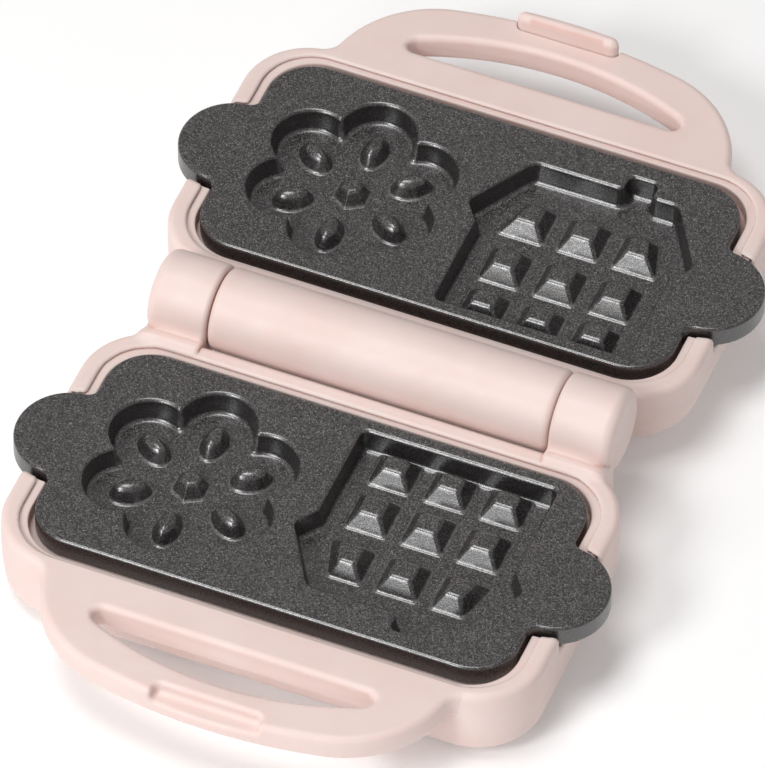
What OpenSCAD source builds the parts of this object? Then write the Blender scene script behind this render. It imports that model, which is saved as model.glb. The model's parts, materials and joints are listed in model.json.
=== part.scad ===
// Two-plate waffle maker, stored open: the base lies towards -Y and the lid towards +Y.
// Both halves are drawn in the same local frame: the origin is the middle of the baking plate's
// top face, +Z points out of the plate, and +Y points at the hinge. The lid is the mirror of that.
// The whole stands on Z = 0, and the origin lies under the middle of the hinge axis.

/* [Layout] */
// Distance from the hinge axis to the middle of each baking plate
hinge_to_plate = 83.2; // [83:0.1:85]
// Height of the lower plate's top face above the table
plate_height = 41; // [40.5:0.5:44]
// Height of the hinge axis above the lower plate's top face
hinge_rise = 1.3; // [1:0.1:1.6]
// Gap between the two plates when the lid is closed
closed_gap = 0.6; // [0.4:0.1:0.8]

/* [Housing] */
// Half the length of each housing, without the plate's ears
shell_hl = 113.5; // [113:0.5:115]
// Half the width of each housing, without its handle
shell_hw = 64.5; // [64:0.1:64.6]
// Corner radius of the housing, seen from above
shell_corner = 28; // [27:0.5:30]
// Wall thickness of the housing
wall = 2.6; // [2.4:0.1:3]
// Depth of the rim's top below the plate's top face
rim_drop = 1.8; // [1.5:0.1:2]
// Radius that rounds the base's bottom edge
base_round = 6; // [4:0.5:6]
// Radius that rounds the lid's crown
crown_round = 26; // [22:1:26]

/* [Handles] */
// Distance from the plate's middle to the handle's front
handle_reach = 110; // [109:0.5:111]
// Half the width of the handle
handle_hw = 86.5; // [85:0.5:88]
// Thickness of the handle
handle_t = 12.5; // [12:0.5:14]

/* [Hinge] */
// Outer radius of the barrel and of its two knuckles
barrel_r = 17.5; // [16.5:0.1:17.6]
// Half the length of the lid's barrel
barrel_hl = 72.5; // [70:0.5:74]
// Distance from the middle to a knuckle's outer end
knuckle_end = 99; // [98:0.5:101]
// Radius of the hinge pins
pin_r = 4; // [3.5:0.1:4.5]
// Radial running clearance of the pins
pin_play = 0.06; // [0.04:0.01:0.09]

/* [Baking plates] */
// Half the length of a plate, without its ears
plate_hl = 101.5; // [101:0.5:102]
// Half the width of a plate
plate_hw = 52.5; // [52:0.1:53]
// Corner radius of a plate
plate_corner = 19; // [17:0.5:21]
// Radius of the round ear at each end
ear_r = 22; // [20:0.5:23]
// Distance from the plate's middle to an ear's centre
ear_x = 103; // [102:0.5:103]
// Height of the plate's edge
plate_edge = 9.5; // [9:0.1:9.6]
// Depth of the moulds
mould_depth = 10; // [8:0.5:10]

/* [Latch] */
// Half the length of the latch
latch_hl = 22; // [18:0.5:22]
// Thickness of the latch
latch_t = 6.5; // [6:0.1:6.6]
// Height of the latch's tongue above the handle's face
latch_rise = 7; // [6.6:0.1:7.2]
// Radius of the latch pin
latch_pin_r = 1.25; // [1:0.05:1.3]

/* [Hidden] */
$fn = 64;
eps = 0.01;

pink = "mistyrose";
iron = "dimgray";
steel = "silver";
ceramic = "ivory";

// Heights in a half's local frame
foot_h = 4;
base_depth = plate_height - foot_h;
lid_depth = plate_height + 2 * hinge_rise - closed_gap;
base_axis_z = hinge_rise;
lid_axis_z = closed_gap - hinge_rise;
rim_z = -rim_drop;
rim_t = 2;
flange_z = rim_z - rim_t;
shelf_z = -plate_edge - 0.2;
shelf_t = 1.8;
shelf_under = shelf_z - shelf_t;

// Openings in the housing, seen from above
rim_hl = 106;
rim_front = -59.2;
rim_back = 57.2;
lip_hl = 102.7;
lip_front = -57.3;
lip_back = 55.3;
rim_corner = 21.5;
ear_gap = 1.5;

// Screw bosses, feet, posts
boss_x = 95;
boss_y = 42;
boss_r = 4.5;
screw_r = 1.6;
screw_head_r = 3.1;
screw_head_t = 1.4;
foot_x = 84;
foot_y = 34;
foot_r = 8;
stub_r = 2.5;
cover_t = 2.5;
cover_hl = 105.2;
cover_hw = 56.2;
post_x = 62;
post_y = 34;

// Heater and reflector
reflector_hl = 93;
reflector_hw = 45;
reflector_corner = 14;
reflector_floor = -24;
sheet_t = 0.8;
heater_z = -17;
heater_r = 3.2;
heater_y = 24;
heater_bend = 16;
heater_left = -80;
heater_right = 62;
clip_x = 38;
well_t = 2.6;
well_z = -mould_depth - well_t;
web_t = 4;

// Moulds
root = 0.5;
flower_x = -51;
petal_ring = 27;
petal_r = 16;
petal_mark = 24;
bump_h = 7;
house_x = 44.3;
house_wall = 41.5;
house_eave = 48.2;
house_roof = 31.3;
house_foot = 46.5;
house_eave_low = 1.5;
house_eave_y = -8;
house_ridge = -36.5;
chimney_x0 = 7;
chimney_x1 = 19.5;
chimney_top = -44.5;
window_w = 17;
window_pitch = 23.5;
window_rows = [[-12.5, 17], [13.5, 17], [36.5, 15]];
window_slope = 3.6;
roof_lean = 7.5;
stud_z = -19;

// Hinge
core_r = 10;
core_hl = 60;
end_gap = 0.6;
pin_inner = core_hl + 0.5;
pin_outer = 94;
bush_outer = 86;
bush_bore = 2.6;
web_depth = 14;
lead_r = 0.9;
bead_r = 1.4;

// Handle arcs: a wide front arc, and corners that meet it smoothly
front_arc = 230;
front_centre = front_arc - handle_reach;
grip_corner = 48;
grip_x = handle_hw - grip_corner;
grip_y = front_centre - sqrt(pow(front_arc - grip_corner, 2) - pow(grip_x, 2));
slot_front = -94.5;
slot_back = -76;
slot_arc = 143;
slot_hl = 59;
slot_corner = 3.4;

// Latch
latch_gap = 0.6;
latch_back = -handle_reach + latch_t;
latch_y = -handle_reach + 4;
latch_z = -5.5;
latch_top = rim_z + latch_rise;
latch_under = rim_z - handle_t;
swing_room = 2.4;
notch_back = latch_back + 0.8;
notch_z = rim_z - 5.4;
rib_hl = 15;
rib_t = 0.5;
rib_z = latch_top - 1.3;
spring_r = 2.7;
spring_hl = 3;
pocket_hl = 4;
pocket_r = 3.3;

// Cord gland in the left wall, and the lamp in the lid's crown
gland_y = 33;
gland_z = -23;
gland_bore = 3.4;
gland_side = 11;
thermostat_x = -14;
thermostat_y = 36;
thermostat_r = 7.4;
blade_y = thermostat_y - 2.9;
block_x = -78;
block_y = 6;
pole_pitch = 8;
fuse_x = 20;
fuse_z = reflector_floor - 2.4;
lead_x = heater_left - 8 - lead_r;
lead_z = -30;
lamp_y = -34;
lamp_h = 7;
lens_r = 4;
lens_flange = 1.4;

// ---------- placing ----------

module base_place() {
    translate([0, -hinge_to_plate, plate_height]) children();
}

module lid_place() {
    translate([0, hinge_to_plate, lid_depth]) mirror([0, 1, 0]) children();
}

module at_corners(x, y) {
    for (sx = [-1, 1], sy = [-1, 1]) translate([sx * x, sy * y, 0]) children();
}

// ---------- outlines ----------

module rounded(hl, hw, r) {
    square([2 * (hl - r), 2 * hw], center = true);
    square([2 * hl, 2 * (hw - r)], center = true);
    at_corners(hl - r, hw - r) circle(r);
}

// A rounded rectangle between two different y values
module rounded_between(hl, y0, y1, r) {
    translate([0, (y0 + y1) / 2]) rounded(hl, (y1 - y0) / 2, r);
}

module plate_outline(gap) {
    fillet = 4 - gap;
    rounded(plate_hl + gap, plate_hw + gap, plate_corner + gap);
    for (s = [-1, 1]) {
        translate([s * ear_x, 0]) circle(ear_r + gap);
        difference() {
            translate([s * (plate_hl + gap + fillet / 2), 0])
                square([fillet, 2 * (ear_r + gap + fillet - 0.2)], center = true);
            for (t = [-1, 1])
                translate([s * (plate_hl + gap + fillet), t * (ear_r + gap + fillet - 0.2)])
                    circle(fillet);
        }
    }
}

module handle_outline() {
    tangent_x = grip_x * front_arc / (front_arc - grip_corner);
    intersection() {
        translate([0, front_centre]) circle(front_arc, $fn = 256);
        translate([-tangent_x, -handle_reach - 1]) square([2 * tangent_x, handle_reach - 55]);
    }
    for (s = [-1, 1]) translate([s * grip_x, grip_y]) circle(grip_corner);
    translate([-handle_hw, grip_y]) square([2 * handle_hw, -grip_y - 52]);
}

module slot_outline() {
    intersection() {
        translate([0, slot_front + slot_arc]) circle(slot_arc, $fn = 256);
        rounded_between(slot_hl, slot_front - 5, slot_back, slot_corner);
    }
}

// ---------- solids used more than once ----------

// A slab with rounded corners whose bottom edge is rounded too; z runs from 0 up to h
module pillow(hl, hw, corner, edge, h) {
    translate([0, 0, edge]) linear_extrude(h - edge) rounded(hl, hw, corner);
    linear_extrude(edge) rounded(hl - edge, hw - edge, corner - edge);
    at_corners(hl - corner, hw - corner) translate([0, 0, edge]) rotate_extrude() {
        intersection() {
            translate([corner - edge, 0]) circle(edge);
            translate([0, -edge]) square([corner, edge + eps]);
        }
        translate([0, -edge]) square([corner - edge, edge]);
    }
    for (s = [-1, 1]) {
        translate([corner - hl, s * (hw - edge), edge]) rotate([90, 0, 90])
            linear_extrude(2 * (hl - corner)) lower_half(edge);
        translate([s * (hl - edge), hw - corner, edge]) rotate([90, 0, 0])
            linear_extrude(2 * (hw - corner)) lower_half(edge);
    }
}

module lower_half(r) {
    intersection() {
        circle(r);
        translate([-r, -r]) square([2 * r, r]);
    }
}

// Extrudes an outline between two heights
module layer(z0, z1) {
    translate([0, 0, z0]) linear_extrude(z1 - z0) children();
}

// A trapezoid prism along Y: half width w at z = 0 and less by slope at z = h
module ridge(w, slope_left, slope_right, length, h) {
    rotate([90, 0, 0]) translate([0, 0, -length / 2]) linear_extrude(length)
        polygon([[-w, -root], [w, -root], [w, 0], [w - slope_right, h], [slope_left - w, h], [-w, 0]]);
}

// A round lead that runs straight from point to point, with a bead of sleeving at each bend
module lead(points) {
    for (i = [0:len(points) - 2]) {
        v = points[i + 1] - points[i];
        translate(points[i])
            rotate([0, acos(v[2] / norm(v)), atan2(v[1], v[0])]) cylinder(r = lead_r, h = norm(v), $fn = 24);
    }
    for (i = [1:len(points) - 2]) translate(points[i]) sphere(bead_r, $fn = 24);
}

// ---------- housings ----------

module rim_opening() {
    layer(flange_z - 1, 1) rounded_between(rim_hl, rim_front, rim_back, rim_corner);
}

module ear_cutouts(z) {
    intersection() {
        layer(z, 1) plate_outline(ear_gap);
        for (s = [-1, 1]) translate([s * (ear_x + 14), 0, 0]) cube([40, 60, 60], center = true);
    }
}

module handle() {
    difference() {
        layer(rim_z - handle_t, rim_z) handle_outline();
        layer(-40, 1) rounded(shell_hl - wall, shell_hw - wall, shell_corner - wall);
    }
}

module barrel_cylinder(axis_z, r, x0, x1) {
    translate([x0, hinge_to_plate, axis_z]) rotate([0, 90, 0]) cylinder(r = r, h = x1 - x0);
}

// A knuckle with the bracket that carries it from the base's rear wall
module knuckle(s) {
    x0 = barrel_hl + end_gap;
    difference() {
        union() {
            mirror([s < 0 ? 1 : 0, 0, 0]) barrel_cylinder(base_axis_z, barrel_r, x0, knuckle_end);
            translate([s * (x0 + knuckle_end) / 2, shell_hw + 4.5, (rim_z - 28) / 2])
                cube([knuckle_end - x0, 14, 28 + rim_z], center = true);
        }
        mirror([s < 0 ? 1 : 0, 0, 0]) barrel_cylinder(base_axis_z, pin_r, x0 - 1, pin_outer);
    }
}

// Way for the lid's supply lead, from inside the base up into the left knuckle
module lead_channel() {
    translate([-90, hinge_to_plate, base_axis_z]) rotate([130, 0, 0]) cylinder(r = 3, h = 32);
}

module base_shell() {
    color(pink) base_place() difference() {
        union() {
            difference() {
                translate([0, 0, -base_depth])
                    pillow(shell_hl, shell_hw, shell_corner, base_round, base_depth + rim_z);
                layer(-base_depth + 6, flange_z)
                    rounded(shell_hl - wall, shell_hw - wall, shell_corner - wall);
                layer(-base_depth + cover_t, -base_depth + 7) rounded(103, 54, 17.5);
                layer(-base_depth - 1, -base_depth + cover_t + eps)
                    rounded(cover_hl + 0.2, cover_hw + 0.2, 20);
                rim_opening();
            }
            handle();
            knuckle(-1);
            knuckle(1);
        }
        layer(-40, 1) slot_outline();
        ear_cutouts(shelf_z - 0.5);
        lead_channel();
        // notch that takes the latch's tongue, with a groove for its rib
        translate([-latch_hl - latch_gap, -handle_reach - 1, notch_z])
            cube([2 * (latch_hl + latch_gap), notch_back + handle_reach + 1, 20]);
        translate([-rib_hl - 1, -handle_reach, closed_gap - latch_top - 0.4])
            cube([2 * rib_hl + 2, notch_back + handle_reach + 0.6, 2]);
        // square hole for the cord gland
        translate([-shell_hl, gland_y, gland_z]) cube([20, gland_side, gland_side], center = true);
    }
}

module lid_crown(shrink) {
    translate([0, 0, -lid_depth + shrink])
        pillow(shell_hl - shrink, shell_hw - shrink, shell_corner - shrink, crown_round - shrink,
            lid_depth + rim_z - shrink);
}

module lid_shell() {
    color(pink) lid_place() difference() {
        union() {
            difference() {
                lid_crown(0);
                intersection() {
                    lid_crown(wall);
                    layer(-lid_depth, flange_z) square(300, center = true);
                }
                rim_opening();
            }
            intersection() {
                at_corners(boss_x, boss_y) layer(-lid_depth, shelf_under) circle(boss_r);
                lid_crown(1);
            }
            handle();
            barrel_cylinder(lid_axis_z, barrel_r, -barrel_hl, barrel_hl);
            translate([-barrel_hl, shell_hw - wall, -web_depth])
                cube([2 * barrel_hl, 12, web_depth + rim_z]);
        }
        layer(-lid_depth, 1) slot_outline();
        ear_cutouts(shelf_z - 0.5);
        at_corners(boss_x, boss_y) layer(shelf_under - 14, shelf_under + 1) circle(screw_r);
        // hollow barrel, pin bores at its ends, and the lead's way into the lid
        barrel_cylinder(lid_axis_z, core_r, -core_hl, core_hl);
        barrel_cylinder(lid_axis_z, pin_r + pin_play, -barrel_hl - 1, barrel_hl + 1);
        translate([-50, shell_hw - wall - 1, -12]) cube([20, hinge_to_plate - shell_hw + wall + 1, 8]);
        // recess for the latch: close above the pin, wider below it, with holes for the pin
        translate([-latch_hl - latch_gap, -handle_reach - 1, latch_under - 1])
            cube([2 * (latch_hl + latch_gap), latch_t + latch_gap + 1, handle_t + 2]);
        translate([-latch_hl - latch_gap, -handle_reach - 1, latch_under - 1])
            cube([2 * (latch_hl + latch_gap), latch_t + swing_room + 1, latch_z - latch_under]);
        translate([0, latch_y, latch_z]) rotate([0, 90, 0])
            cylinder(r = latch_pin_r, h = 2 * latch_hl + 9.2, center = true);
        // hole for the indicator lens
        translate([0, lamp_y, -lid_depth - 1]) cylinder(r = lens_r, h = wall + 2);
    }
}

// Tray that carries a plate: a flange under the rim, a wall and a shelf
module tray_frame() {
    difference() {
        union() {
            layer(flange_z - shelf_t, flange_z)
                rounded(shell_hl - wall - 0.2, shell_hw - wall - 0.2, shell_corner - wall);
            layer(shelf_under, flange_z)
                rounded_between(lip_hl + shelf_t, lip_front - shelf_t, lip_back + shelf_t, 22);
        }
        layer(shelf_z, 1) rounded_between(lip_hl, lip_front, lip_back, 20.2);
        layer(shelf_under - 1, 1) rounded(98.5, 49.5, 11);
        ear_cutouts(shelf_z);
    }
    at_corners(boss_x, boss_y) layer(shelf_under, shelf_z) circle(boss_r + 0.5);
}

module base_frame() {
    color(pink) base_place() difference() {
        union() {
            tray_frame();
            at_corners(boss_x, boss_y) layer(-base_depth + cover_t, shelf_under + eps) circle(boss_r);
        }
        at_corners(boss_x, boss_y) layer(-base_depth, -base_depth + 16) circle(screw_r);
    }
}

module lid_frame() {
    color(pink) lid_place() difference() {
        tray_frame();
        at_corners(boss_x, boss_y) {
            layer(shelf_under - 1, 0) circle(screw_r + 0.2);
            layer(shelf_z - 1, 0) circle(screw_head_r + 0.2);
        }
    }
}

module base_bottom_cover() {
    color(pink) base_place() difference() {
        layer(-base_depth, -base_depth + cover_t) rounded(cover_hl, cover_hw, 19.8);
        at_corners(boss_x, boss_y) {
            layer(-base_depth - 1, 0) circle(screw_r + 0.2);
            layer(-base_depth - 1, -base_depth + screw_head_t) circle(screw_head_r + 0.2);
        }
        at_corners(foot_x, foot_y) layer(-base_depth - 1, 0) circle(stub_r);
        for (i = [-4:4]) translate([i * 12, 0, -base_depth]) cube([2.4, 44, 10], center = true);
    }
}

module base_feet() {
    color("gainsboro") base_place() at_corners(foot_x, foot_y) {
        translate([0, 0, -base_depth - foot_h]) cylinder(r1 = foot_r - 1, r2 = foot_r, h = foot_h);
        layer(-base_depth - eps, -base_depth + cover_t) circle(stub_r);
    }
}

module base_screws() {
    color(steel) base_place() at_corners(boss_x, boss_y) {
        layer(-base_depth, -base_depth + screw_head_t) circle(screw_head_r);
        layer(-base_depth + screw_head_t - eps, -base_depth + 14) circle(screw_r);
    }
}

module lid_screws() {
    color(steel) lid_place() at_corners(boss_x, boss_y) {
        layer(shelf_z - 1, shelf_z) circle(screw_head_r);
        layer(shelf_z - 12, shelf_z - 1 + eps) circle(screw_r);
    }
}

// ---------- heating ----------

module reflector() {
    difference() {
        layer(reflector_floor, -13) rounded(reflector_hl, reflector_hw, reflector_corner);
        layer(reflector_floor + sheet_t, 0)
            rounded(reflector_hl - sheet_t, reflector_hw - sheet_t, reflector_corner - sheet_t);
        for (s = [-1, 1]) translate([-89, s * heater_y, -30]) cylinder(r = 2.5, h = 20);
        translate([thermostat_x, thermostat_y - 0.4, -30]) cylinder(r = thermostat_r + 0.4, h = 20);
    }
}

module reflector_posts(z0) {
    at_corners(post_x, post_y) difference() {
        layer(z0, reflector_floor) circle(4);
        layer(z0 - 1, reflector_floor + 1) circle(2);
    }
}

// Sheathed element bent into a U, with a thin terminal pin at each end
module heating_element() {
    translate([0, 0, heater_z]) {
        for (s = [-1, 1]) {
            translate([heater_left, s * heater_y, 0]) rotate([0, 90, 0])
                cylinder(r = heater_r, h = heater_right - heater_left);
            translate([heater_left - 8, s * heater_y, 0]) rotate([0, 90, 0])
                cylinder(r = lead_r, h = 8 + eps);
            translate([heater_right, s * (heater_y - heater_bend), 0]) rotate([0, 0, s > 0 ? 0 : -90])
                rotate_extrude(angle = 90) translate([heater_bend, 0]) circle(heater_r);
        }
        translate([heater_right + heater_bend, 0, 0]) rotate([90, 0, 0])
            cylinder(r = heater_r, h = 2 * (heater_y - heater_bend), center = true);
    }
}

// Saddles that hold the element's legs above the reflector
module element_clips() {
    at_corners(clip_x, heater_y) difference() {
        layer(reflector_floor + sheet_t, -13.1) square([8, 11], center = true);
        translate([0, 0, heater_z]) rotate([0, 90, 0]) cylinder(r = heater_r, h = 20, center = true);
    }
}

// Spring clip that grips the stud under a plate
module plate_catch() {
    translate([thermostat_x, -thermostat_y, 0]) {
        layer(reflector_floor + sheet_t, reflector_floor + 2 * sheet_t) square([10.2, 8], center = true);
        for (s = [-1, 1]) translate([s * 4.6, 0, (reflector_floor + sheet_t - 13.5) / 2])
            cube([1, 8, -13.5 - reflector_floor - sheet_t], center = true);
    }
}

module base_reflector() {
    color(steel) base_place() reflector();
}

module lid_reflector() {
    color(steel) lid_place() reflector();
}

module base_reflector_posts() {
    color(ceramic) base_place() reflector_posts(-base_depth + cover_t);
}

module lid_reflector_posts() {
    color(ceramic) lid_place() reflector_posts(-lid_depth + wall);
}

module base_heating_element() {
    color("slategray") base_place() heating_element();
}

module lid_heating_element() {
    color("slategray") lid_place() heating_element();
}

module base_element_clips() {
    color(steel) base_place() element_clips();
}

module lid_element_clips() {
    color(steel) lid_place() element_clips();
}

module lower_plate_catch() {
    color(steel) base_place() plate_catch();
}

module upper_plate_catch() {
    color(steel) lid_place() plate_catch();
}

// ---------- baking plates ----------

module petals(spread) {
    for (k = [0:5]) rotate(30 + 60 * k) translate([petal_ring, 0]) circle(petal_r + spread);
    circle(petal_r + spread);
}

module house(spread) {
    square_pairs = [[-house_wall, house_wall, house_eave_low, house_foot],
        [chimney_x0, chimney_x1, chimney_top, house_ridge + 5]];
    for (q = square_pairs) translate([q[0] - spread, q[2] - spread])
        square([q[1] - q[0] + 2 * spread, q[3] - q[2] + 2 * spread]);
    polygon([[-house_wall - spread, house_eave_low + spread], [-house_eave - spread, house_eave_y],
             [-house_roof - spread / 2, house_ridge - spread], [house_roof + spread / 2, house_ridge - spread],
             [house_eave + spread, house_eave_y], [house_wall + spread, house_eave_low + spread]]);
}

// An almond with sloping sides, made where three cones meet
module petal_bump() {
    arc_r = 11.8;
    side = 6.3;
    intersection() {
        translate([0, side, 0]) cylinder(r1 = arc_r, r2 = arc_r - 2.4, h = bump_h + root);
        translate([0, -side, 0]) cylinder(r1 = arc_r, r2 = arc_r - 2.4, h = bump_h + root);
        cylinder(r1 = 8.8, r2 = 6.4, h = bump_h + root);
    }
}

module flower_bumps() {
    for (k = [0:5]) rotate([0, 0, 30 + 60 * k]) translate([petal_mark, 0, -mould_depth - root]) petal_bump();
    translate([0, 0, -mould_depth - root]) cylinder(r1 = 6.6, r2 = 4.4, h = bump_h + root - 0.5);
}

// One window bump; lean tilts the side towards +X or -X so that it follows the roof
module window_bump(w, d, lean) {
    intersection() {
        ridge(w / 2 + abs(lean) / 4, lean < 0 ? roof_lean : window_slope,
            lean > 0 ? roof_lean : window_slope, d + 1, bump_h);
        rotate([0, 0, 90]) ridge(d / 2, window_slope, window_slope, w + 8, bump_h);
    }
}

module house_bumps() {
    for (row = [0:2], col = [-1:1])
        translate([col * window_pitch, window_rows[row][0], -mould_depth])
            window_bump(window_w, window_rows[row][1], row == 0 ? col : 0);
}

// Cast plate: a web with a raised skirt, a well under each mould, and a stud under the web
module baking_plate() {
    difference() {
        union() {
            difference() {
                layer(-plate_edge, 0) plate_outline(0);
                layer(-plate_edge - 1, -web_t) rounded(plate_hl - 3.5, plate_hw - 3.5, plate_corner - 3.5);
            }
            layer(well_z, -web_t + root) {
                translate([flower_x, 0]) petals(well_t);
                translate([house_x, 0]) house(well_t);
            }
            translate([thermostat_x, thermostat_y, well_z]) cylinder(r = 8, h = -well_z - 1);
            translate([thermostat_x, -thermostat_y, stud_z]) cylinder(r = 4, h = -stud_z - 1);
        }
        layer(-mould_depth, 1) {
            translate([flower_x, 0]) petals(0);
            translate([house_x, 0]) house(0);
        }
    }
    translate([flower_x, 0, 0]) flower_bumps();
    translate([house_x, 0, 0]) house_bumps();
}

module lower_plate() {
    color(iron) base_place() baking_plate();
}

module upper_plate() {
    color(iron) lid_place() baking_plate();
}

// ---------- electrical parts ----------

module thermostat() {
    color("darkkhaki") base_place() translate([thermostat_x, thermostat_y - 0.4, 0]) {
        layer(-27, well_z) circle(thermostat_r);
        layer(reflector_floor - 0.8, reflector_floor) circle(10);
        for (s = [-1, 1]) translate([s * 4, 0, -28.5]) cube([0.8, 5, 4], center = true);
    }
}

module thermal_fuse() {
    color("goldenrod") base_place() translate([fuse_x, 0, fuse_z]) {
        rotate([0, 90, 0]) cylinder(r = 2, h = 16, center = true);
        translate([0, 0, 0.4]) cube([5, 7, 4], center = true);
    }
}

module terminal_block() {
    color(ceramic) base_place() translate([block_x, block_y, -base_depth + cover_t]) difference() {
        translate([-8, -13, 0]) cube([16, 26, 8]);
        for (i = [-1:1]) translate([0, i * pole_pitch, 5]) cylinder(r = 2, h = 10);
    }
}

// Collar in the left wall that guides the supply cord out
module cord_gland() {
    color("whitesmoke") base_place() translate([0, gland_y, gland_z]) difference() {
        union() {
            translate([-shell_hl - 3, 0, 0]) rotate([0, 90, 0]) cylinder(r = 7.5, h = 3);
            translate([-shell_hl + wall / 2, 0, 0])
                cube([wall, gland_side - 0.2, gland_side - 0.2], center = true);
            translate([-shell_hl + wall - eps, 0, 0]) rotate([0, 90, 0]) cylinder(r = 5.2, h = 10);
        }
        translate([-shell_hl - 4, 0, 0]) rotate([0, 90, 0]) cylinder(r = gland_bore, h = 20);
    }
}

module base_wiring() {
    color("firebrick") base_place() {
        // from the element's two pins to the terminal block
        for (s = [-1, 1]) lead([[lead_x, s * heater_y, heater_z], [lead_x, s * heater_y, lead_z],
            [lead_x, block_y + s * pole_pitch, lead_z], [block_x - 8, block_y + s * pole_pitch, lead_z]]);
        // short tail at the terminal block, for the supply
        lead([[-96, 22, lead_z - 2], [-91, 22, lead_z - 2], [-91, block_y, lead_z - 2],
            [block_x - 8, block_y, lead_z - 2]]);
        // through the thermostat and the fuse, and back
        lead([[block_x + 8, block_y, lead_z], [-40, block_y, lead_z], [thermostat_x - 4, 28, lead_z + 1],
            [thermostat_x - 4, blade_y, lead_z + 1]]);
        lead([[thermostat_x + 4, blade_y, lead_z + 1], [thermostat_x + 4, 28, lead_z + 1],
            [fuse_x - 14, 0, fuse_z], [fuse_x - 8, 0, fuse_z]]);
        lead([[fuse_x + 8, 0, fuse_z], [fuse_x + 13, 0, fuse_z], [fuse_x + 16, -12, lead_z],
            [-60, -12, lead_z], [-66, block_y - pole_pitch, lead_z],
            [block_x + 8, block_y - pole_pitch, lead_z]]);
        // up through the left knuckle and along its hollow pin, to feed the lid
        lead([[-pin_inner - 0.1, hinge_to_plate, base_axis_z], [-90, hinge_to_plate, base_axis_z],
            [-90, 60.2, -18], [-90, 52, lead_z], [block_x + 2, 30, lead_z],
            [block_x + 2, block_y + 13, lead_z]]);
    }
}

module lid_wiring() {
    way_x = -40;
    gap_y = shell_hw - 5;
    color("firebrick") lid_place() {
        lead([[-core_hl + 0.4, hinge_to_plate, lid_axis_z], [way_x, hinge_to_plate, lid_axis_z],
            [way_x, 74.5, -9.5], [way_x, gap_y, -9.5], [way_x, gap_y, -16], [way_x, 52, lead_z + 1],
            [lead_x, 31, lead_z + 1], [lead_x, heater_y, lead_z + 1], [lead_x, heater_y, heater_z]]);
        lead([[lead_x, -heater_y, heater_z], [lead_x, -heater_y, lead_z + 1], [0, lamp_y, lead_z + 1],
            [0, lamp_y, -lid_depth + wall + lens_flange + lamp_h]]);
    }
}

module indicator_lens() {
    color("tomato") lid_place() translate([0, lamp_y, -lid_depth]) {
        layer(0.4, wall) circle(lens_r);
        layer(wall, wall + lens_flange) circle(lens_r + 1.5);
    }
}

module indicator_lamp() {
    color("orange") lid_place() translate([0, lamp_y, -lid_depth + wall + lens_flange])
        cylinder(r = 2.6, h = lamp_h);
}

// ---------- hinge pins and latch ----------

// A solid pin on the right, and a hollow one on the left that the lid's lead runs through
module hinge_pins() {
    color(steel) base_place() {
        barrel_cylinder(base_axis_z, pin_r, pin_inner, pin_outer);
        difference() {
            barrel_cylinder(base_axis_z, pin_r, -bush_outer, -pin_inner);
            barrel_cylinder(base_axis_z, bush_bore, -bush_outer - 1, -pin_inner + 1);
        }
    }
}

module latch() {
    color(pink) lid_place() difference() {
        union() {
            intersection() {
                translate([-latch_hl, -handle_reach - 1, latch_under])
                    cube([2 * latch_hl, latch_t + 1, latch_top - latch_under]);
                layer(latch_under - 1, latch_top + 1) handle_outline();
            }
            translate([-rib_hl, latch_back - eps, rib_z]) cube([2 * rib_hl, rib_t, latch_top - rib_z]);
        }
        translate([0, latch_y, latch_z]) rotate([0, 90, 0])
            cylinder(r = latch_pin_r + pin_play, h = 60, center = true);
        // pocket for the spring, open towards the grip
        translate([0, latch_y, latch_z]) rotate([0, 90, 0])
            cylinder(r = pocket_r, h = 2 * pocket_hl, center = true);
        translate([-pocket_hl, latch_y, latch_z - pocket_r]) cube([2 * pocket_hl, 12, 2 * pocket_r]);
    }
}

module latch_pin() {
    color(steel) lid_place() translate([0, latch_y, latch_z]) rotate([0, 90, 0])
        cylinder(r = latch_pin_r, h = 2 * latch_hl + 9.2, center = true);
}

// Wound body of the torsion spring, with the leg that bears on the grip
module latch_spring() {
    color(steel) lid_place() translate([0, latch_y, latch_z]) {
        rotate([0, 90, 0]) difference() {
            cylinder(r = spring_r, h = 2 * spring_hl, center = true);
            cylinder(r = spring_r - 0.8, h = 10, center = true);
        }
        translate([2.4, 0, -2.2]) rotate([-90, 0, 0]) cylinder(r = 0.4, h = latch_t + swing_room - 4);
    }
}

base_shell();
base_frame();
base_bottom_cover();
base_feet();
base_screws();
base_reflector();
base_reflector_posts();
base_heating_element();
base_element_clips();
lower_plate();
lower_plate_catch();
thermostat();
thermal_fuse();
terminal_block();
cord_gland();
base_wiring();
hinge_pins();
lid_shell();
lid_frame();
lid_screws();
lid_reflector();
lid_reflector_posts();
lid_heating_element();
lid_element_clips();
upper_plate();
upper_plate_catch();
indicator_lens();
indicator_lamp();
lid_wiring();
latch_pin();
latch_spring();
latch();
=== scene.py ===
import json

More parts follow.
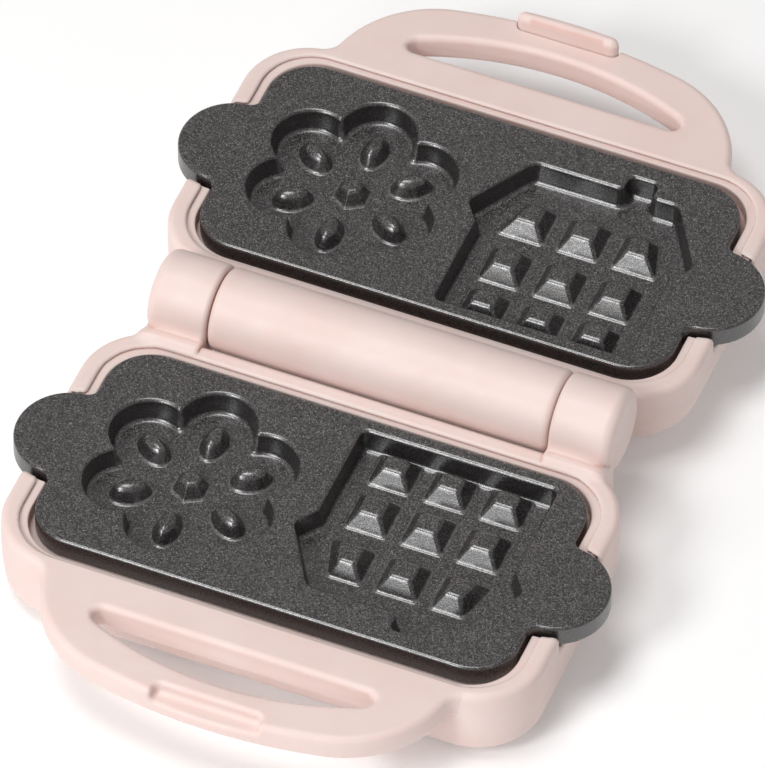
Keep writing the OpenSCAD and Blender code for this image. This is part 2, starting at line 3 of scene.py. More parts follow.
import bpy
import numpy as np
from mathutils import Matrix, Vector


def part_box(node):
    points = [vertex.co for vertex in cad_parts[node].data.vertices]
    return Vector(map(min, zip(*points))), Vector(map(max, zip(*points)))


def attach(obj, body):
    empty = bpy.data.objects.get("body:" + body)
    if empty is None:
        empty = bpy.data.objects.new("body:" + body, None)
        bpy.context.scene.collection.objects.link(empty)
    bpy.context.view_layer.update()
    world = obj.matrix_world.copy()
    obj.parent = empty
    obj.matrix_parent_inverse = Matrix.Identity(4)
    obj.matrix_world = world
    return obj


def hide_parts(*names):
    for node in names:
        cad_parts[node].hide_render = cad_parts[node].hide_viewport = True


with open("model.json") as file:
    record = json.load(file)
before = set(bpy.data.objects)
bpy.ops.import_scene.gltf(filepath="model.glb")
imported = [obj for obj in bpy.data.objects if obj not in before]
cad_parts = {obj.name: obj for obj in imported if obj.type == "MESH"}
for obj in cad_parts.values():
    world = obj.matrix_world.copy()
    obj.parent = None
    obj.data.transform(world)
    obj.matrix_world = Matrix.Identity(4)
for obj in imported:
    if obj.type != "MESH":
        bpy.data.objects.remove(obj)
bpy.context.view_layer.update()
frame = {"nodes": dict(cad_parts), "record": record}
NODES = frame["nodes"]

MM = 0.001

# Where the two half frames stand: the middle of each plate's top face, in mm.
# Sizes below are in that frame, in mm, with Z out of the plate and Y towards the hinge.
low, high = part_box("lower_plate")
BASE_AT = np.array([0.0, (low.y + high.y) / 2 / MM, high.z / MM])
low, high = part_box("upper_plate")
LID_AT = np.array([0.0, (low.y + high.y) / 2 / MM, high.z / MM])
HINGE = LID_AT[1]
LID_DEPTH = LID_AT[2]
low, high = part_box("base_shell")
BASE_DEPTH = BASE_AT[2] - low.z / MM
BASE_AXIS, LID_AXIS = 1.3, -0.7

# Heights of the housings' rim and of the ledge under the plate.
RIM = -1.8
RIM_UNDER = -3.8
SHELF = -9.7

# Housings: half length, half width and corner radius of the outline, wall, lid crown, handles.
BODY = (113.5, 64.5, 28)
WALL = 2.6
CROWN_ROUND = 26
HANDLE_UNDER = -14.3
LATCH_HL = 22
LATCH_AXIS = (-106, -5.5)

# Hinge: radii of the barrel and the knuckles, and where they end along X.
BARREL_R, KNUCKLE_R = 17.2, 17.5
BARREL_HL, KNUCKLE_IN, KNUCKLE_OUT = 72.5, 73.1, 99

# Baking plate: outline, underside of its flat, ears, and the two moulds sunk in it.
PLATE = (101.5, 52.5, 19)
PLATE_UNDER = -9.5
EAR_X, EAR_R = 103, 22
FLOWER_X, HOUSE_X = -51, 44.3
LOBE_RING, LOBE_R, FLOWER_CORE = 27, 16, 26
PETAL_RING = 24
MOULD_FLOOR = -10
MOULD_UNDER = MOULD_FLOOR - WALL
MARK_ROOT = MOULD_FLOOR - 0.5
MOULD_DRAFT = 0.17
WINDOW_PITCH = 23.5
WINDOW_HL = 8.5
WINDOW_ROWS = ((-12.5, 8.5), (13.5, 8.5), (36.5, 7.5))
PETAL_TURNS = np.radians(30 + 60 * np.arange(6))

# Bottom cover and feet.
COVER = (105.2, 56.2, 19.8)
COVER_T = 2.5
SCREW_AT = (95, 42)
FOOT_AT = (84, 34)


# ---------- distance fields: negative inside, in mm ----------

def r_and(a, b, r):
    """The overlap of two solids, with its edge rounded to radius r."""
    u = np.maximum(a + r, 0)
    v = np.maximum(b + r, 0)
    return np.minimum(-r, np.maximum(a, b)) + np.sqrt(u * u + v * v)


def r_or(a, b, r):
    return -r_and(-a, -b, r)


def r_cut(a, b, r):
    return r_and(a, -b, r)


def rbox(x, y, hl, hw, r):
    qx = np.abs(x) - hl + r
    qy = np.abs(y) - hw + r
    outside = np.hypot(np.maximum(qx, 0), np.maximum(qy, 0))
    return outside + np.minimum(np.maximum(qx, qy), 0) - r


def rbox_between(x, y, hl, y0, y1, r):
    return rbox(x, y - (y0 + y1) / 2, hl, (y1 - y0) / 2, r)


def arc_grip(x, y, hl, centre, radius, back, r):
    """A shape with straight sides and back, and a front that is an arc, all rounded to r."""
    ax = np.abs(x)
    inner_hl, inner_radius, inner_back = hl - r, radius - r, back - r
    corner_y = centre - np.sqrt(inner_radius ** 2 - inner_hl ** 2)
    rad = np.hypot(x, y - centre)
    side = ax - inner_hl
    front = rad - inner_radius
    rear = y - inner_back
    inside = np.maximum(np.maximum(side, front), rear)
    in_fan = ax * inner_radius <= inner_hl * rad
    corner = np.hypot(side, y - corner_y)
    forward = np.where(in_fan, front, corner)
    level = np.hypot(np.maximum(side, 0), np.maximum(rear, 0))
    outside = np.where((y < corner_y) & (centre > y), forward,
                       np.where(front > np.maximum(side, rear), front, level))
    return np.where(inside > 0, outside, inside) - r


def body_outline(x, y, inset=0.0):
    return rbox(x, y, *[size - inset for size in BODY])


def handle_outline(x, y):
    return arc_grip(x, y, 86.5, 120, 230, -40, 48)


def slot_outline(x, y):
    flat = rbox_between(x, y, 59, -99.5, -76, 3.6)
    arc = np.hypot(x, y - 48.5) - 143
    return r_and(flat, arc, 2.6)


def ear(x, y, gap):
    return np.hypot(np.abs(x) - EAR_X, y) - EAR_R - gap


def tube(y, z, axis_z, r):
    return np.hypot(y - HINGE, z - axis_z) - r


def rim_cut(solid, x, y, z):
    """The opening that the rim leaves, and the gaps for the plate's ears."""
    opening = rbox_between(x, y, 106, -59.2, 57.2, 21.5)
    solid = r_cut(solid, np.maximum(opening, RIM_UNDER - 0.3 - z), 1.3)
    gap = np.maximum(ear(x, y, 1.5), SHELF - 0.5 - z)
    return r_cut(solid, gap, 2.4)


def top_with_handle(x, y, z):
    """The slab at the rim's level: the body's outline and the handle's in one."""
    plan = r_or(body_outline(x, y), handle_outline(x, y), 5)
    slab = r_and(plan, z - RIM, 2.9)
    return r_and(slab, HANDLE_UNDER - z, 3.2)


def base_shell(x, y, z):
    swell = 0.5 - 1.7 * ((z + 13) / 24) ** 2
    body = r_and(body_outline(x, y) - swell, z - RIM, 2.9)
    body = r_and(body, -BASE_DEPTH - z, 6)
    body = np.minimum(body, top_with_handle(x, y, z))
    ax = np.abs(x)
    knuckle = np.minimum(tube(y, z, BASE_AXIS, KNUCKLE_R),
                         np.maximum(np.abs(y - 69) - 7, np.maximum(z - RIM, -28 - z)))
    knuckle = r_and(knuckle, ax - KNUCKLE_OUT, 4.5)
    blended = r_or(np.maximum(body, 66 - ax), knuckle, 6.5)
    blended = r_and(blended, KNUCKLE_IN - ax, 1.8)
    solid = np.minimum(body, np.where(y > 50, blended, body))
    cavity = np.maximum(body_outline(x, y, WALL), np.maximum(z - RIM_UNDER, -31 - z))
    floor_way = np.maximum(rbox(x, y, 103, 54, 17.5), z + 30)
    cover_seat = np.maximum(rbox(x, y, 105.4, 56.4, 20), z + BASE_DEPTH - COVER_T)
    solid = np.maximum(solid, -np.minimum(np.minimum(cavity, floor_way), cover_seat))
    solid = rim_cut(solid, x, y, z)
    solid = r_cut(solid, slot_outline(x, y), 2.6)
    notch = r_and(r_and(ax - LATCH_HL - 0.6, y + 102.7, 3.0), -7.2 - z, 2.4)
    solid = r_cut(solid, notch, 1.8)
    gland = np.maximum(np.maximum(np.abs(y - 33), np.abs(z + 23)) - 5.5, x + 105)
    bore = np.maximum(tube(y, z, BASE_AXIS, 4), ax - 94)
    return np.maximum(solid, -np.minimum(gland, np.maximum(bore, 70 - ax)))


def lid_shell(x, y, z):
    body = r_and(body_outline(x, y), z - RIM, 2.9)
    body = r_and(body, -LID_DEPTH - z, CROWN_ROUND)
    body = np.minimum(body, top_with_handle(x, y, z))
    ax = np.abs(x)
    rad = tube(y, z, LID_AXIS, 0)
    barrel = r_and(rad - BARREL_R, ax - BARREL_HL, 2.6)
    web = np.maximum(np.maximum(np.abs(y - 67.9) - 6, ax - BARREL_HL), np.maximum(z - RIM, -14 - z))
    hinge = r_or(web, barrel, 2.5)
    solid = np.minimum(body, np.where(y > 50, hinge, body))
    cavity = r_and(body_outline(x, y, WALL), WALL - LID_DEPTH - z, CROWN_ROUND - WALL)
    cavity = np.maximum(cavity, z - RIM_UNDER)
    solid = np.maximum(solid, -cavity)
    solid = rim_cut(solid, x, y, z)
    solid = r_cut(solid, slot_outline(x, y), 2.6)
    recess = r_and(ax - LATCH_HL - 0.2, np.where(z > -5.5, y + 103.3, y + 101.1), 3.2)
    solid = r_cut(solid, recess, 0.6)
    lens = np.maximum(np.hypot(x, y + 34) - 4, z + LID_DEPTH - 4)
    core = np.maximum(rad - 10, ax - 60)
    bore = rad - 4.06
    return np.maximum(solid, -np.minimum(lens, np.minimum(core, bore)))


def tray_frame(x, y, z):
    flange = np.maximum(rbox(x, y, 110.7, 61.7, 25.4), np.maximum(z - RIM_UNDER, -5.6 - z))
    wall = np.maximum(rbox_between(x, y, 104.5, -59.1, 57.1, 22), np.maximum(z - RIM_UNDER, -11.5 - z))
    solid = np.minimum(flange, wall)
    tray = np.maximum(rbox_between(x, y, 102.7, -57.3, 55.3, 20.2), SHELF - z)
    solid = r_cut(solid, tray, 0.7)
    solid = r_cut(solid, rbox(x, y, 98.5, 49.5, 11), 0.4)
    return r_cut(solid, np.maximum(ear(x, y, 1.5), SHELF - z), 0.6)


def petals(x, y):
    d = np.hypot(x, y) - FLOWER_CORE
    for a in PETAL_TURNS:
        lobe = np.hypot(x - LOBE_RING * np.cos(a), y - LOBE_RING * np.sin(a)) - LOBE_R
        d = r_or(d, lobe, 1.6)
    return d


def house(x, y):
    ax = np.abs(x)
    walls = r_and(ax - 41.5, np.abs(y - 22) - 24.5, 3)
    slope = (ax - 48.2) * 0.860 - (y + 8) * 0.510
    eave = (ax - 48.2) * 0.817 + (y + 8) * 0.577
    roof = np.maximum(r_and(r_and(slope, eave, 2.2), -36.5 - y, 3.0), y - 5)
    chimney = r_and(np.abs(x - 13.25) - 6.25, np.abs(y + 37) - 7.5, 2.6)
    return r_or(np.minimum(walls, roof), chimney, 2.4)


def petal_bump(x, y, z):
    """An almond with sloping sides and a rounded top."""
    lean = (z - MOULD_FLOOR) * 0.52 - 0.4
    d = r_and(np.hypot(x, y - 6.3) - 11.8 + lean, np.hypot(x, y + 6.3) - 11.8 + lean, 2.6)
    d = r_and(d, np.hypot(x, y) - 8.9 + lean, 1.5)
    return r_and(d, z + 3.2, 2.2)


def window_bump(x, y, z, h, lean):
    """A window mark. lean is -1 or 1 beside a roof slope, which its outer side follows, or else 0."""
    rise = (z - MOULD_FLOOR) * 0.66 - 0.6
    if lean:
        roof_side = x * lean - WINDOW_HL + rise - (y - h) * 0.30 - 1.6
        sides = np.maximum(roof_side, -x * lean - WINDOW_HL + rise)
    else:
        sides = np.abs(x) - WINDOW_HL + rise
    d = r_and(sides, np.abs(y) - h + rise, 1.5)
    return r_and(d, z + 3, 1.2)


def flower_marks(solid, x, y, z):
    for a in PETAL_TURNS:
        u = x * np.cos(a) + y * np.sin(a) - PETAL_RING
        v = -x * np.sin(a) + y * np.cos(a)
        solid = r_or(solid, np.maximum(petal_bump(u, v, z), MARK_ROOT - z), 0.9)
    hexagon = np.maximum(np.abs(x), 0.5 * np.abs(x) + 0.866 * np.abs(y))
    hub = r_and(hexagon - 6.9 + (z - MOULD_FLOOR) * 0.55, z + 3.5, 1.4)
    return r_or(solid, np.maximum(hub, MARK_ROOT - z), 0.9)


def house_marks(solid, x, y, z):
    for row, (middle, half_width) in enumerate(WINDOW_ROWS):
        for column in (-1, 0, 1):
            lean = column if row == 0 else 0
            bump = window_bump(x - WINDOW_PITCH * column, y - middle, z, half_width, lean)
            solid = r_or(solid, np.maximum(bump, MARK_ROOT - z), 0.9)
    return solid


def plate(x, y, z):
    plan = r_or(rbox(x, y, *PLATE), ear(x, y, 0), 4)
    solid = r_and(plan, z, 1.3)
    solid = r_and(solid, PLATE_UNDER - z, 0.6)
    solid = np.maximum(solid, -np.maximum(rbox(x, y, 98, 49, 15.5), z + 4))
    flower = petals(x - FLOWER_X, y)
    cabin = house(x - HOUSE_X, y)
    wells = np.minimum(flower, cabin) - WALL
    solid = np.minimum(solid, np.maximum(wells, np.maximum(z, MOULD_UNDER - z)))
    for mould in (flower, cabin):
        void = r_and(mould - z * MOULD_DRAFT, MOULD_FLOOR - z, 1.8)
        solid = r_cut(solid, void, 1.5)
    solid = flower_marks(solid, x - FLOWER_X, y, z)
    return house_marks(solid, x - HOUSE_X, y, z)


def latch(x, y, z):
    bar = r_and(r_and(np.abs(x) - LATCH_HL, y + 103.5, 3.4), handle_outline(x, y), 3.4)
    bar = r_and(bar, z - 5.2, 3.4)
    bar = r_and(bar, HANDLE_UNDER - z, 1.8)
    rib = np.maximum(np.maximum(np.abs(x) - 15, np.abs(y + 103.25) - 0.25), np.abs(z - 4.55) - 0.6)
    bar = np.minimum(bar, r_and(rib, np.abs(x) - 15, 0.3))
    rad = np.hypot(y - LATCH_AXIS[0], z - LATCH_AXIS[1])
    pocket = np.maximum(rad - 3.3, np.abs(x) - 4)
    return np.maximum(bar, -np.minimum(rad - 1.31, pocket))


def bottom_cover(x, y, z):
    bottom = -BASE_DEPTH
    solid = r_and(rbox(x, y, *COVER), bottom - z, 0.8)
    solid = np.maximum(solid, z - bottom - COVER_T)
    pitch = x - 12 * np.clip(np.round(x / 12), -4, 4)
    vent = rbox(pitch, y, 1.3, 22, 1.2)
    solid = r_cut(solid, vent, 0.5)
    corner = np.hypot(np.abs(x) - SCREW_AT[0], np.abs(y) - SCREW_AT[1])
    solid = r_cut(solid, np.maximum(corner - 3.4, z - bottom - 1.4), 0.4)
    return np.maximum(solid, 1.8 - corner)


def foot(x, y, z):
    rad = np.hypot(x, y)
    solid = r_and(rad - 7.5 - z * 0.25, z - 4, 0.3)
    solid = r_and(solid, -z, 0.9)
    dish = np.maximum(rad - 4.6, z - 0.5)
    solid = r_cut(solid, dish, 0.3)
    return np.minimum(solid, np.maximum(rad - 2.4, np.maximum(3 - z, z - 6.5)))


# ---------- fields into meshes ----------

CORNERS = np.array([[i, j, k] for i in (0, 1) for j in (0, 1) for k in (0, 1)])
EDGES = [(a, b) for a in range(8) for b in range(a + 1, 8)
         if np.abs(CORNERS[a] - CORNERS[b]).sum() == 1]


def slope_of(field, p, h=0.12):
    g = np.empty_like(p)
    for axis in range(3):
        step = np.zeros(3)
        step[axis] = h
        ahead, behind = p + step, p - step
        g[:, axis] = (field(*ahead.T) - field(*behind.T)) / (2 * h)
    return g


def net(field, lo, hi, step):
    """A quad mesh of the field's zero surface, with every vertex moved onto it."""
    lo = np.array(lo, float)
    axes = [np.arange(a, b + step, step) for a, b in zip(lo, hi)]
    shape = tuple(len(a) for a in axes)
    grid = np.meshgrid(*[a.astype(np.float32) for a in axes], indexing="ij", sparse=True)
    d = np.broadcast_to(field(*grid), shape)
    inside = d < 0
    count = sum(inside[i:shape[0] - 1 + i, j:shape[1] - 1 + j, k:shape[2] - 1 + k].astype(np.int8)
                for i, j, k in CORNERS)
    mixed = (count > 0) & (count < 8)
    cells = np.argwhere(mixed)
    at_corner = [d[tuple((cells + c).T)].astype(float) for c in CORNERS]
    total = np.zeros((len(cells), 3))
    hits = np.zeros(len(cells))
    for a, b in EDGES:
        crosses = (at_corner[a] < 0) != (at_corner[b] < 0)
        t = np.where(crosses, at_corner[a] / np.where(crosses, at_corner[a] - at_corner[b], 1), 0)
        total += crosses[:, None] * (CORNERS[a] + t[:, None] * (CORNERS[b] - CORNERS[a]))
        hits += crosses
    p = lo + (cells + total / hits[:, None]) * step
    index = np.full(mixed.shape, -1, np.int64)
    index[mixed] = np.arange(len(cells))
    quads = []
    for axis in range(3):
        here = [slice(1, -1)] * 3
        there = [slice(1, -1)] * 3
        here[axis], there[axis] = slice(0, -1), slice(1, None)
        start, end = inside[tuple(here)], inside[tuple(there)]
        for which, turned in ((start & ~end, False), (~start & end, True)):
            at = np.argwhere(which)
            at += 1
            at[:, axis] -= 1
            u, v = (axis + 1) % 3, (axis + 2) % 3
            ring = []
            for du, dv in ((-1, -1), (0, -1), (0, 0), (-1, 0)):
                q = at.copy()
                q[:, u] += du
                q[:, v] += dv
                ring.append(index[tuple(q.T)])
            quad = np.stack(ring, 1)
            quads.append(quad[:, ::-1] if turned else quad)
    quads = np.concatenate(quads)
    for _ in range(3):
        g = slope_of(field, p)
        size = np.maximum((g * g).sum(1), 0.3)
        move = np.clip(field(*p.T) / size, -0.5 * step, 0.5 * step)
        p = p - move[:, None] * g
    g = slope_of(field, p)
    normal = g / np.maximum(np.linalg.norm(g, axis=1), 1e-6)[:, None]
    # How sharp an outside edge is here; the plate lightens these edges, partly as wear and partly as a
    # painted highlight.
    edge_wear_and_highlight = np.clip((field(*(p - 1.1 * normal).T) + 1.1) / 0.7, 0, 1)
    # How hollow the surface is here; the pink uses it to paint shade into creases and hollows.
    crease_shade = np.clip((2.2 - field(*(p + 2.2 * normal).T)) / 2.2, 0, 1)
    return p, quads, normal, edge_wear_and_highlight, crease_shade


def to_base(p):
    return p + BASE_AT


def to_lid(p):
    return p * [1, -1, 1] + LID_AT


def make(name, shape, where, body, node, material):
    """A smooth object from a net, standing for a CAD node. where is to_base or to_lid."""
    p, quads, normal, edge_wear_and_highlight, crease_shade = shape
    mirrored = where is to_lid
    if mirrored:
        quads = quads[:, ::-1]
        normal = normal * [1, -1, 1]
    mesh = bpy.data.meshes.new(name)
    mesh.vertices.add(len(p))
    mesh.vertices.foreach_set("co", (where(p) * MM).astype(np.float32).ravel())
    mesh.loops.add(quads.size)
    mesh.loops.foreach_set("vertex_index", quads.astype(np.int32).ravel())
    mesh.polygons.add(len(quads))
    mesh.polygons.foreach_set("loop_start", np.arange(0, quads.size, 4, dtype=np.int32))
    mesh.update(calc_edges=True)
    mesh.polygons.foreach_set("use_smooth", np.ones(len(quads), bool))
    for key, values in (("edge_wear_and_highlight", edge_wear_and_highlight), ("crease_shade", crease_shade)):
        mesh.attributes.new(key, "FLOAT", "POINT").data.foreach_set("value", values.astype(np.float32))
    mesh.normals_split_custom_set_from_vertices(normal)
    mesh.materials.append(material)
    obj = bpy.data.objects.new(name, mesh)
    bpy.context.scene.collection.objects.link(obj)
    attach(obj, body)
    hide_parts(node)
    return obj


# ---------- materials ----------

class Nodes:
    """Builds one node material. Numbers that are the same all over go on the shader's own sockets."""

    def __init__(self, name, **fixed):
        self.material = bpy.data.materials.new(name)
        self.material.use_nodes = True
        self.tree = self.material.node_tree
        self.shader = self.tree.nodes["Principled BSDF"]
        for key, value in fixed.items():
            self.shader.inputs[key.replace("_", " ")].default_value = value
        self.where = self.tree.nodes.new("ShaderNodeTexCoord").outputs["Object"]

    def add(self, kind, **values):
        node = self.tree.nodes.new(kind)
        for key, value in values.items():
            setattr(node, key, value)
        return node

    def link(self, source, socket):
        self.tree.links.new(source, socket)

    def noise(self, scale, detail=3.0, rough=0.55):
        node = self.add("ShaderNodeTexNoise")
        node.inputs["Scale"].default_value = scale
        node.inputs["Detail"].default_value = detail
        node.inputs["Roughness"].default_value = rough
        self.link(self.where, node.inputs["Vector"])
        return node.outputs["Fac"]

    def attribute(self, name):
        return self.add("ShaderNodeAttribute", attribute_name=name).outputs["Fac"]

    def band(self, source, low, high, to_low=0.0, to_high=1.0):
        node = self.add("ShaderNodeMapRange")
        for key, value in (("From Min", low), ("From Max", high), ("To Min", to_low), ("To Max", to_high)):
            node.inputs[key].default_value = value
        self.link(source, node.inputs["Value"])
        return node.outputs["Result"]

    def times(self, a, b):
        node = self.add("ShaderNodeMath", operation="MULTIPLY")
        for value, socket in zip((a, b), node.inputs):
            if isinstance(value, (int, float)):
                socket.default_value = value
            else:
                self.link(value, socket)
        return node.outputs["Value"]

    def mix(self, amount, first, second):
        node = self.add("ShaderNodeMix", data_type="RGBA")
        self.link(amount, node.inputs["Factor"])
        for value, socket in ((first, node.inputs["A"]), (second, node.inputs["B"])):
            for candidate in node.inputs:
                if candidate.name == socket.name and candidate.type == "RGBA":
                    socket = candidate
            if isinstance(value, tuple):
                socket.default_value = value + (1.0,)
            else:
                self.link(value, socket)
        return [o for o in node.outputs if o.type == "RGBA"][0]

    def bump(self, height, depth, strength=1.0, under=None):
        node = self.add("ShaderNodeBump")
        node.inputs["Distance"].default_value = depth
        node.inputs["Strength"].default_value = strength
        self.link(height, node.inputs["Height"])
        if under is not None:
            self.link(under, node.inputs["Normal"])
        return node.outputs["Normal"]

    def done(self, color=None, roughness=None, normal=None):
        for source, key in ((color, "Base Color"), (roughness, "Roughness"), (normal, "Normal")):
            if source is not None:
                self.link(source, self.shader.inputs[key])
        return self.material


def plastic(name, pale, shade_tone, rough=(0.4, 0.52), texture=0.00004):
    n = Nodes(name, IOR=1.46, Subsurface_Weight=0.2, Subsurface_Radius=(1.0, 0.42, 0.3),
              Subsurface_Scale=0.004)
    cloudy = n.band(n.noise(26.0), 0.35, 0.65)
    color = n.mix(cloudy, pale, tuple(0.85 * a + 0.15 * b for a, b in zip(pale, shade_tone)))
    # Painted shade: creases and hollows are darkened towards the shade tone.
    color = n.mix(n.band(n.attribute("crease_shade"), 0.05, 0.95, 0.0, 0.85), color, shade_tone)
    fine = n.noise(2600.0, 2.0)
    normal = n.bump(fine, texture, 0.5)
    normal = n.bump(n.noise(90.0, 2.0), 0.00035, 0.35, normal)
    return n.done(color, n.band(n.noise(140.0), 0.3, 0.7, *rough), normal)


def coated(name):
    """Dark non-stick coating with fine pale flecks. The flecks fade out on steep faces, which paints shade
    onto the walls; the edges are lighter, partly from wear and partly as a painted highlight.
    """
    n = Nodes(name, IOR=1.95)
    # Painted shade: the pale flecks are kept to level faces, so steep walls come out darker.
    level = n.add("ShaderNodeSeparateXYZ")
    n.link(n.add("ShaderNodeTexCoord").outputs["Normal"], level.inputs["Vector"])
    level = n.band(level.outputs["Z"], 0.35, 0.9, 0.12, 1.0)
    cloudy = n.band(n.noise(38.0), 0.35, 0.65)
    base = n.mix(cloudy, (0.008, 0.0068, 0.0068), (0.013, 0.0115, 0.0115))
    flecks = ((2600.0, 0.5, (0.105, 0.097, 0.096)), (3400.0, 0.84, (0.3, 0.285, 0.28)))
    for scale, share, tone in flecks:
        cells = n.add("ShaderNodeTexVoronoi")
        cells.inputs["Scale"].default_value = scale
        n.link(n.where, cells.inputs["Vector"])
        split = n.add("ShaderNodeSeparateColor")
        n.link(cells.outputs["Color"], split.inputs["Color"])
        base = n.mix(n.times(level, n.band(split.outputs["Red"], share, 1.0)), base, tone)
    # Lighter edges: partly wear of the coating, partly a painted highlight.
    patches = n.band(n.noise(520.0, 4.0), 0.38, 0.62, 0.2, 1.0)
    wear_and_highlight_mask = n.times(n.band(n.attribute("edge_wear_and_highlight"), 0.1, 0.8), patches)
    color = n.mix(n.times(wear_and_highlight_mask, 0.7), base, (0.36, 0.345, 0.34))
    normal = n.bump(n.noise(1500.0, 3.0), 0.00008, 0.5)
    return n.done(color, n.band(n.noise(700.0), 0.3, 0.7, 0.22, 0.34), normal)


def metal(name, tone, rough, streak=(1.0, 1.0, 30.0)):
    n = Nodes(name, Metallic=1.0)
    mapping = n.add("ShaderNodeMapping")
    mapping.inputs["Scale"].default_value = streak
    n.link(n.where, mapping.inputs["Vector"])
    n.where = mapping.outputs["Vector"]
    lines = n.noise(260.0, 4.0)
    color = n.mix(n.band(lines, 0.3, 0.7), tone, tuple(0.72 * c for c in tone))
    return n.done(color, n.band(lines, 0.3, 0.7, rough, rough + 0.16), n.bump(lines, 0.00004, 0.5))


def matt(name, tone, rough, scale=900.0, depth=0.00008):
    n = Nodes(name, IOR=1.45)
    speck = n.noise(scale, 4.0)
    color = n.mix(n.band(speck, 0.35, 0.7), tone, tuple(0.74 * c for c in tone))
    return n.done(color, n.band(n.noise(scale / 4), 0.3, 0.7, rough, min(rough + 0.15, 1.0)),
                  n.bump(speck, depth, 0.6))


def sleeve(name, tone):
    """Braided glass-fibre sleeve."""
    n = Nodes(name, Roughness=0.8)
    waves = []
    for turn in (0.8, -0.8):
        mapping = n.add("ShaderNodeMapping")
        mapping.inputs["Rotation"].default_value = (0.5, 0.4, turn)
        n.link(n.where, mapping.inputs["Vector"])
        wave = n.add("ShaderNodeTexWave")
        wave.inputs["Scale"].default_value = 900.0
        n.link(mapping.outputs["Vector"], wave.inputs["Vector"])
        waves.append(wave.outputs["Fac"])
    braid = n.times(*waves)
    return n.done(n.mix(braid, tuple(0.55 * c for c in tone), tone), None, n.bump(braid, 0.0002, 0.7))


def clear(name, tone, rough):
    n = Nodes(name, IOR=1.49, Transmission_Weight=0.55)
    haze = n.noise(300.0)
    color = n.mix(haze, tone, tuple(0.8 * c for c in tone))
    return n.done(color, n.band(haze, 0.3, 0.7, rough, rough + 0.1), n.bump(haze, 0.00005, 0.4))


# PINK_SHADE is the pink of shaded parts: painted shade in creases, and a little random tone variation.
PINK, PINK_SHADE = (0.83, 0.675, 0.635), (0.67, 0.39, 0.33)
FINISH = {
    "pink_shell": plastic("pink_plastic", PINK, PINK_SHADE),
    "coated_plate": coated("non_stick_coating"),
    "foot_rubber": matt("foot_rubber", (0.42, 0.39, 0.37), 0.7),
    "screw_steel": metal("zinc_plated_steel", (0.6, 0.6, 0.61), 0.3),
    "spring_steel": metal("bright_steel", (0.56, 0.56, 0.58), 0.22),
    "reflector_aluminium": metal("rolled_aluminium", (0.78, 0.78, 0.79), 0.28, (30.0, 1.0, 1.0)),
    "ceramic": matt("unglazed_ceramic", (0.8, 0.77, 0.7), 0.65, 600.0),
    "element_sheath": metal("heat_darkened_sheath", (0.22, 0.21, 0.22), 0.42),
    "thermostat_body": matt("brown_bakelite", (0.16, 0.09, 0.045), 0.4, 500.0),
    "fuse_body": metal("plated_fuse", (0.6, 0.48, 0.26), 0.3),
    "gland_plastic": matt("gland_plastic", (0.72, 0.66, 0.62), 0.45, 1400.0, 0.00004),
    "wire_sleeve": sleeve("wire_sleeve", (0.42, 0.07, 0.045)),
    "lens": clear("red_lens", (0.7, 0.06, 0.04), 0.12),
    "lamp_glass": clear("lamp_glass", (0.9, 0.5, 0.2), 0.06),
}

for part in frame["record"]["subparts"]:
    mesh = NODES[part["node"]].data
    mesh.materials.clear()
    mesh.materials.append(FINISH[part["material_slot"]])


# ---------- pieces ----------

pink, iron = FINISH["pink_shell"], FINISH["coated_plate"]
SHELL_STEP, FINE_STEP = ((1.1, 0.65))

make("base_housing", net(base_shell, (-116, -112, -39), (116, 103, 20.6), SHELL_STEP),
     to_base, "base", "base_shell", pink)
make("lid_housing", net(lid_shell, (-116, -112, -45), (116, 103, 18.6), SHELL_STEP),
     to_lid, "lid", "lid_shell", pink)
tray = net(tray_frame, (-112.5, -63.5, -13), (112.5, 63.5, -2.6), FINE_STEP)
make("base_tray", tray, to_base, "base", "base_frame", pink)
make("lid_tray", tray, to_lid, "lid", "lid_frame", pink)
cast = net(plate, (-126.5, -54, -14), (126.5, 54, 1.2), FINE_STEP)
make("lower_baking_plate", cast, to_base, "base", "lower_plate", iron)
make("upper_baking_plate", cast, to_lid, "lid", "upper_plate", iron)
make("lid_latch", net(latch, (-23, -111, -15.5), (23, -101.5, 6.4), 0.5),
     to_lid, "latch", "latch", pink)
cover = net(bottom_cover, (-106.6, -57.6, -BASE_DEPTH - 1), (106.6, 57.6, 3.6 - BASE_DEPTH), 0.9)
make("bottom_cover", cover, to_base, "base", "base_bottom_cover", pink)

p, quads, normal, edge_wear_and_highlight, crease_shade = net(foot, (-9, -9, -1), (9, 9, 7.6), 0.6)
spots = [(sx * FOOT_AT[0], sy * FOOT_AT[1]) for sx in (-1, 1) for sy in (-1, 1)]
feet = (np.concatenate([p + [sx, sy, -BASE_AT[2]] for sx, sy in spots]),
        np.concatenate([quads + i * len(p) for i in range(4)]),
        np.tile(normal, (4, 1)), np.tile(edge_wear_and_highlight, 4), np.tile(crease_shade, 4))
make("rubber_feet", feet, to_base, "base", "base_feet", FINISH["foot_rubber"])


# ---------- floor, light, camera ----------

floor_mesh = bpy.data.meshes.new("floor")
half = 6.0
square = [(-half, -half, 0), (half, -half, 0), (half, half, 0), (-half, half, 0)]
floor_mesh.from_pydata(square, [], [(0, 1, 2, 3)])
floor = bpy.data.objects.new("floor", floor_mesh)
bpy.context.scene.collection.objects.link(floor)
n = Nodes("pale_floor", Roughness=0.9, Emission_Color=(1.0, 1.0, 1.0, 1.0), Emission_Strength=0.12)
floor_mesh.materials.append(n.done(n.mix(n.noise(3.0), (0.93, 0.93, 0.93), (0.91, 0.91, 0.91))))

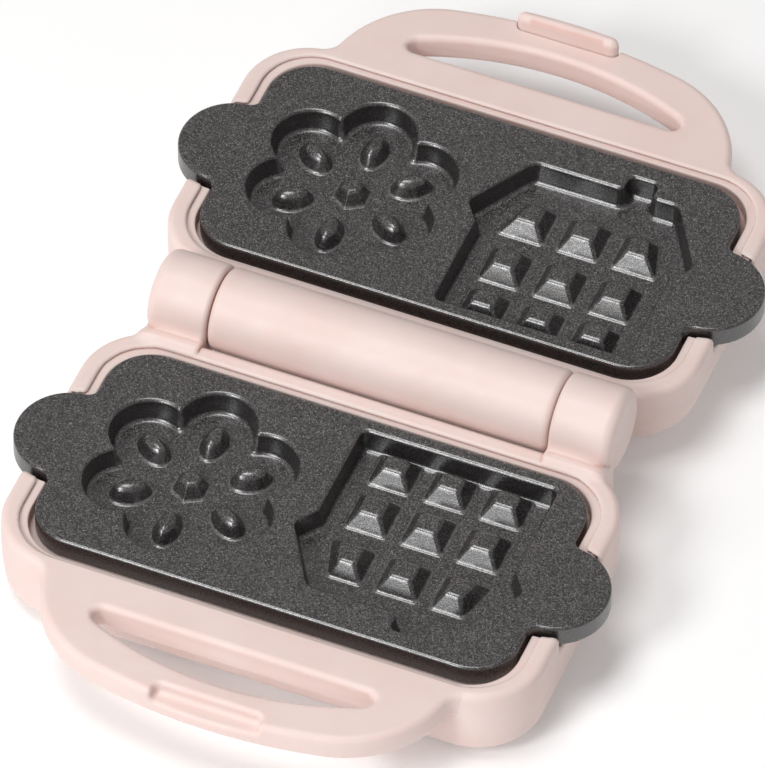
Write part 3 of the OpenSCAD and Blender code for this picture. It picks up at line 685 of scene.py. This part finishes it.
world = bpy.data.worlds.new("studio")
bpy.context.scene.world = world
world.use_nodes = True
world.node_tree.nodes["Background"].inputs["Color"].default_value = (1.0, 0.985, 0.975, 1.0)
world.node_tree.nodes["Background"].inputs["Strength"].default_value = 0.33


def lamp(name, at, aim, size, power):
    data = bpy.data.lights.new(name, "AREA")
    data.shape = "DISK"
    data.size = size
    data.energy = power
    obj = bpy.data.objects.new(name, data)
    bpy.context.scene.collection.objects.link(obj)
    at, aim = np.array(at, float), np.array(aim, float)
    back = (at - aim) / np.linalg.norm(at - aim)
    right = np.cross((0, 1, 0.01), back)
    right /= np.linalg.norm(right)
    rows = np.stack([right, np.cross(back, right), back], 1)
    turn = np.eye(4)
    turn[:3, :3] = rows
    turn[:3, 3] = at
    obj.matrix_world = Matrix(turn.tolist())


lamp("key", (-1.0, -2.2, 2.1), (0, 0, 0), 0.9, 38)
lamp("front", (-0.6, -2.3, 1.0), (0, 0, 0), 0.5, 9)
lamp("overhead", (-0.4, -0.3, 2.6), (0, 0, 0), 1.2, 26)

AZIMUTH, ELEVATION, ROLL = np.radians([21.89, 48.62, 0.5])
out = np.cos(ELEVATION)
back = np.array([np.sin(AZIMUTH) * out, -np.cos(AZIMUTH) * out, np.sin(ELEVATION)])
level = np.array([np.cos(AZIMUTH), np.sin(AZIMUTH), 0.0])
upright = np.cross(back, level)
right = np.cos(ROLL) * level + np.sin(ROLL) * upright
up = np.cos(ROLL) * upright - np.sin(ROLL) * level
RIGHT_OFF, UP_OFF, DISTANCE = 28, 49, 4683
camera_at = BASE_AT + RIGHT_OFF * right + UP_OFF * up + DISTANCE * back
turn = np.eye(4)
turn[:3, :3] = np.stack([right, up, back], 1)
turn[:3, 3] = camera_at * MM
data = bpy.data.cameras.new("camera")
data.sensor_width = 36
data.lens = 561
data.clip_end = 100
camera = bpy.data.objects.new("camera", data)
camera.matrix_world = Matrix(turn.tolist())
bpy.context.scene.collection.objects.link(camera)
bpy.context.scene.camera = camera
bpy.context.scene.view_settings.view_transform = "Standard"
